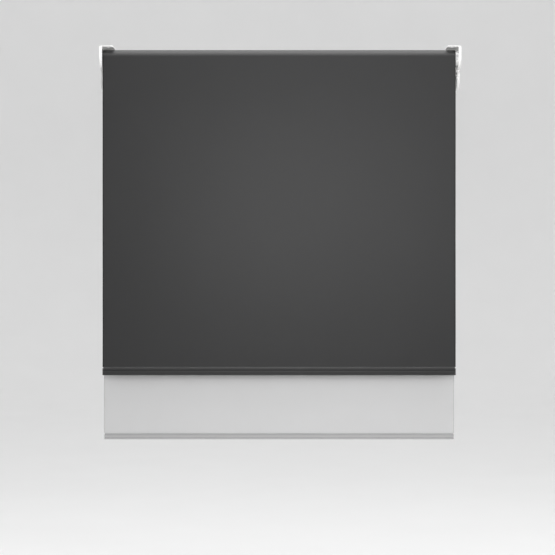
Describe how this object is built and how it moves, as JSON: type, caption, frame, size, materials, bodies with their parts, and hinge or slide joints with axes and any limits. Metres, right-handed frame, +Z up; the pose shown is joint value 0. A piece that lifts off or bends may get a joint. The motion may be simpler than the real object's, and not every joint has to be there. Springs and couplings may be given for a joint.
{
  "type": "double roller blind",
  "caption": "Twin-bracket roller blind with a dark blackout sheet in front and a longer translucent sheet behind, each on a sprung pin and a tube motor, with a weighted hem.",
  "frame": {"origin": "centre of the four ceiling-fixing holes, on the brackets' top plane", "axes": "+X to the right seen from the room, +Y away from the room towards the window, +Z up"},
  "size_m": [0.94, 0.0842, 1.026],
  "materials": {
    "bracket_steel": "white powder coat, satin",
    "cover_plastic": "white moulded plastic, fine spark texture",
    "head_plastic": "white moulded plastic, satin",
    "plug_plastic": "light grey acetal",
    "strip_plastic": "extruded plastic strip",
    "tube_aluminium": "extruded, mill finish",
    "bar_aluminium": "extruded, mill finish",
    "blackout_cloth": "charcoal coated blackout weave",
    "translucent_cloth": "light grey translucent weave",
    "pin_steel": "turned steel",
    "spring_steel": "spring steel",
    "zinc_steel": "zinc plated",
    "socket_metal": "nickel plated shell",
    "casing_steel": "galvanised tube",
    "gearbox_plastic": "black glass-filled nylon",
    "button_plastic": "grey soft plastic",
    "lamp_plastic": "clear green light guide",
    "battery_wrap": "blue shrink wrap",
    "board": "green circuit board",
    "dark_cap": "charcoal moulded plastic",
    "light_cap": "light grey moulded plastic"
  },
  "bodies": {
    "brackets": {"left_bracket_plate": "bracket_steel", "right_bracket_plate": "bracket_steel", "left_bracket_cover": "cover_plastic", "right_bracket_cover": "cover_plastic", "left_cover_screws": "zinc_steel", "right_cover_screws": "zinc_steel", "front_pin_bush": "plug_plastic", "front_motor_head": "head_plastic", "front_motor_clip": "spring_steel", "front_charge_socket": "socket_metal", "front_status_lamp": "lamp_plastic", "front_motor_casing": "casing_steel", "front_control_board": "board", "front_battery": "battery_wrap", "front_motor": "zinc_steel", "front_gearbox": "gearbox_plastic", "front_fabric": "blackout_cloth", "rear_pin_bush": "plug_plastic", "rear_motor_head": "head_plastic", "rear_motor_clip": "spring_steel", "rear_charge_socket": "socket_metal", "rear_status_lamp": "lamp_plastic", "rear_motor_casing": "casing_steel", "rear_control_board": "board", "rear_battery": "battery_wrap", "rear_motor": "zinc_steel", "rear_gearbox": "gearbox_plastic", "rear_fabric": "translucent_cloth"},
    "front_roller": {"front_tube": "tube_aluminium", "front_fabric_roll": "blackout_cloth", "front_fabric_spline": "strip_plastic", "front_idle_plug": "plug_plastic", "front_pin_spring": "spring_steel", "front_spring_cap": "plug_plastic", "front_crown": "plug_plastic", "front_output_shaft": "pin_steel", "front_drive_wheel": "plug_plastic"},
    "front_pin": {"front_idle_pin": "pin_steel"},
    "front_bar": {"front_hem_pocket": "blackout_cloth", "front_bottom_bar": "bar_aluminium", "front_bar_end_caps": "dark_cap"},
    "front_button": {"front_set_button": "button_plastic"},
    "rear_roller": {"rear_tube": "tube_aluminium", "rear_fabric_roll": "translucent_cloth", "rear_fabric_spline": "strip_plastic", "rear_idle_plug": "plug_plastic", "rear_pin_spring": "spring_steel", "rear_spring_cap": "plug_plastic", "rear_crown": "plug_plastic", "rear_output_shaft": "pin_steel", "rear_drive_wheel": "plug_plastic"},
    "rear_pin": {"rear_idle_pin": "pin_steel"},
    "rear_bar": {"rear_hem_pocket": "translucent_cloth", "rear_bottom_bar": "bar_aluminium", "rear_bar_end_caps": "light_cap"},
    "rear_button": {"rear_set_button": "button_plastic"}
  },
  "joints": [
    {"name": "front_bar_slide", "type": "slide", "parent": "brackets", "child": "front_bar", "axis": [0, 0, 1], "range_m": [-0.394, 0.79], "deforming": ["front_fabric"]},
    {"name": "front_tube_spin", "type": "hinge", "parent": "brackets", "child": "front_roller", "pos_m": [0, -0.0138, -0.02887], "axis": [1, 0, 0], "range_deg": [-2054, 1025]},
    {"name": "front_pin_slide", "type": "slide", "parent": "front_roller", "child": "front_pin", "axis": [1, 0, 0], "range_m": [0, 0.006], "stiffness_N_per_m": 300, "springref_m": -0.01, "deforming": ["front_pin_spring"]},
    {"name": "front_button_press", "type": "slide", "parent": "brackets", "child": "front_button", "axis": [0, 1, 0], "range_m": [0, 0.0006], "stiffness_N_per_m": 600, "springref_m": -0.001},
    {"name": "rear_bar_slide", "type": "slide", "parent": "brackets", "child": "rear_bar", "axis": [0, 0, 1], "range_m": [-0.224, 0.912], "deforming": ["rear_fabric"]},
    {"name": "rear_tube_spin", "type": "hinge", "parent": "brackets", "child": "rear_roller", "pos_m": [0, 0.0112, -0.08138], "axis": [1, 0, 0], "range_deg": [-2469, 608]},
    {"name": "rear_pin_slide", "type": "slide", "parent": "rear_roller", "child": "rear_pin", "axis": [1, 0, 0], "range_m": [0, 0.006], "stiffness_N_per_m": 300, "springref_m": -0.01, "deforming": ["rear_pin_spring"]},
    {"name": "rear_button_press", "type": "slide", "parent": "brackets", "child": "rear_button", "axis": [0, 1, 0], "range_m": [0, 0.0006], "stiffness_N_per_m": 600, "springref_m": -0.001}
  ],
  "couplings": [
    {"joint": "front_tube_spin", "follows": "front_bar_slide", "rad_per_m": -45.337},
    {"joint": "rear_tube_spin", "follows": "rear_bar_slide", "rad_per_m": -47.223}
  ]
}
